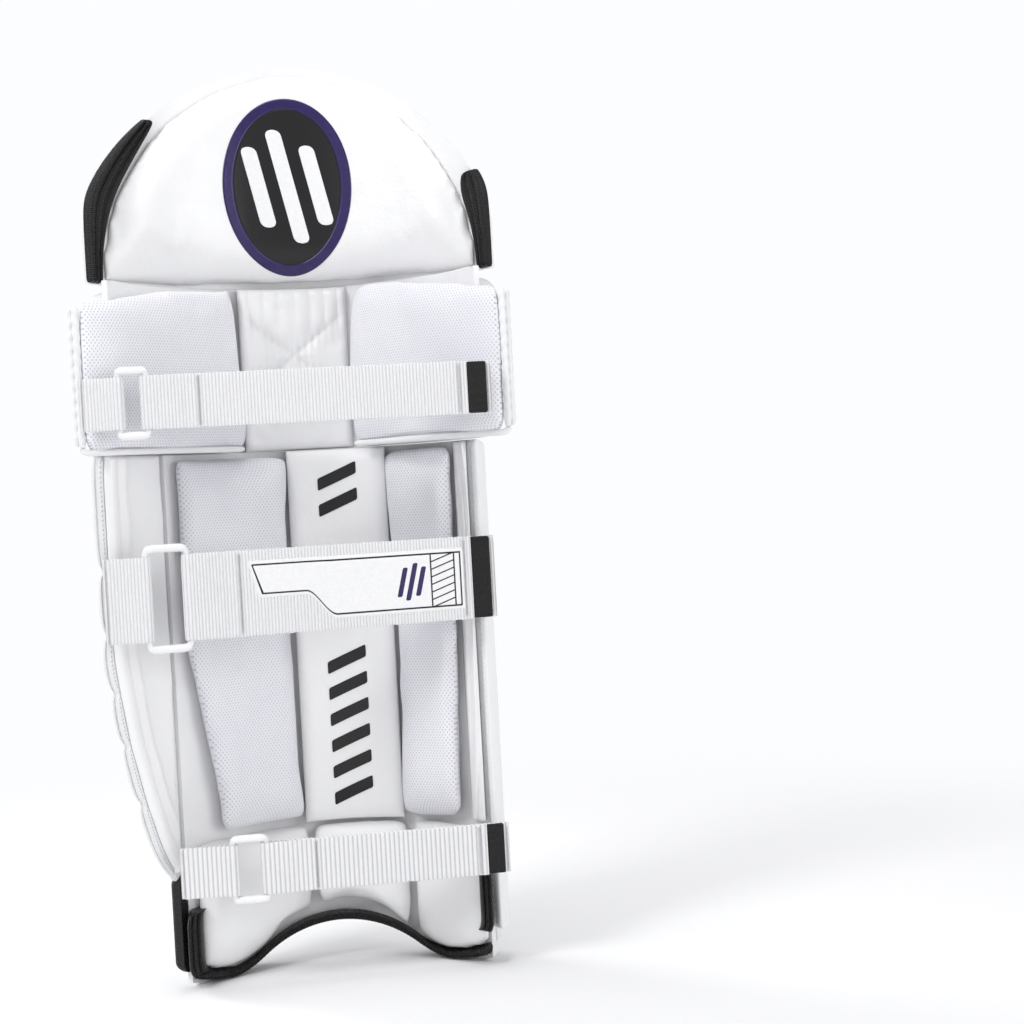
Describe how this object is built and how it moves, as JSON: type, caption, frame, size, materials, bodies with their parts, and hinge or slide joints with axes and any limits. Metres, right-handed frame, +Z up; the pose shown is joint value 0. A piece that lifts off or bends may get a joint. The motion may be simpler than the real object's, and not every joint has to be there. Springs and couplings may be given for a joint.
{
  "type": "cricket leg pad",
  "caption": "Curved batting leg pad with stuffed ribs, knee rolls and a side wing in front, cushions behind, and hook-and-loop straps that open on rings.",
  "frame": {"origin": "centre of the bounding box in X and Y, at the floor under the two foot lobes", "axes": "+Z up the pad, +Y from the batting face towards the leg, +X to the side with the wing and the strap rings"},
  "size_m": [0.3202, 0.1745, 0.7],
  "materials": {
    "pu": "satin",
    "mesh": "matte",
    "lining": "matte",
    "board": "matte",
    "cane": "matte",
    "badge": "satin",
    "binding": "matte",
    "piping": "satin",
    "webbing": "matte",
    "hook": "matte",
    "ring": "gloss"
  },
  "bodies": {
    "pad": {"ankle_anchor": "webbing", "ankle_cushion_centre": "pu", "ankle_cushion_left": "pu", "ankle_cushion_right": "pu", "ankle_strap_sewn": "webbing", "badge_plate": "badge", "calf_anchor": "webbing", "calf_bolster_left": "mesh", "calf_bolster_right": "mesh", "calf_strap_sewn": "webbing", "centre_strip": "pu", "instep_panel": "pu", "knee_anchor": "webbing", "knee_board": "board", "knee_bolster_left": "mesh", "knee_bolster_right": "mesh", "knee_lining": "lining", "knee_roll_lower": "pu", "knee_roll_middle": "pu", "knee_roll_upper": "pu", "knee_strap_sewn": "webbing", "shin_board": "board", "shin_canes": "cane", "shin_rib_1": "pu", "shin_rib_2": "pu", "shin_rib_3": "pu", "shin_rib_4": "pu", "shin_rib_5": "pu", "shin_rib_6": "pu", "shin_rib_7": "pu", "shin_welt": "piping", "side_strip_right": "pu", "side_wing": "pu", "thigh_cushion": "pu", "top_binding_left": "binding", "top_binding_right": "binding", "top_board": "board", "top_canes": "cane", "top_panel_left": "pu", "top_panel_right": "pu", "top_piping": "piping", "top_rib_1": "pu", "top_rib_2": "pu", "top_rib_3": "pu", "top_rib_4": "pu", "top_rib_5": "pu", "top_rib_6": "pu", "wing_lining": "pu"},
    "knee_ring_body": {"knee_ring": "ring", "knee_fold": "webbing"},
    "knee_strap_body": {"knee_strap_free": "webbing", "knee_hook_tab": "hook"},
    "calf_ring_body": {"calf_ring": "ring", "calf_fold": "webbing"},
    "calf_strap_body": {"calf_strap_free": "webbing", "calf_hook_tab": "hook"},
    "ankle_ring_body": {"ankle_ring": "ring", "ankle_fold": "webbing"},
    "ankle_strap_body": {"ankle_strap_free": "webbing", "ankle_hook_tab": "hook"}
  },
  "joints": [
    {"name": "knee_ring_rock", "type": "hinge", "parent": "pad", "child": "knee_ring_body", "pos_m": [0.126, 0.08235, 0.435], "axis": [0, 0, -1], "range_deg": [0, 8]},
    {"name": "knee_strap_peel", "type": "hinge", "parent": "knee_ring_body", "child": "knee_strap_body", "pos_m": [0.106, 0.08235, 0.435], "axis": [0, 0, -1], "range_deg": [0, 150]},
    {"name": "calf_ring_rock", "type": "hinge", "parent": "pad", "child": "calf_ring_body", "pos_m": [0.1155, 0.07175, 0.296], "axis": [0, 0, -1], "range_deg": [0, 8]},
    {"name": "calf_strap_peel", "type": "hinge", "parent": "calf_ring_body", "child": "calf_strap_body", "pos_m": [0.08556, 0.06593, 0.296], "axis": [0, 0, -1], "range_deg": [0, 150]},
    {"name": "ankle_ring_rock", "type": "hinge", "parent": "pad", "child": "ankle_ring_body", "pos_m": [0.067, 0.03975, 0.093], "axis": [0, 0, -1], "range_deg": [0, 8]},
    {"name": "ankle_strap_peel", "type": "hinge", "parent": "ankle_ring_body", "child": "ankle_strap_body", "pos_m": [0.04201, 0.03888, 0.093], "axis": [0, 0, -1], "range_deg": [0, 150]}
  ]
}
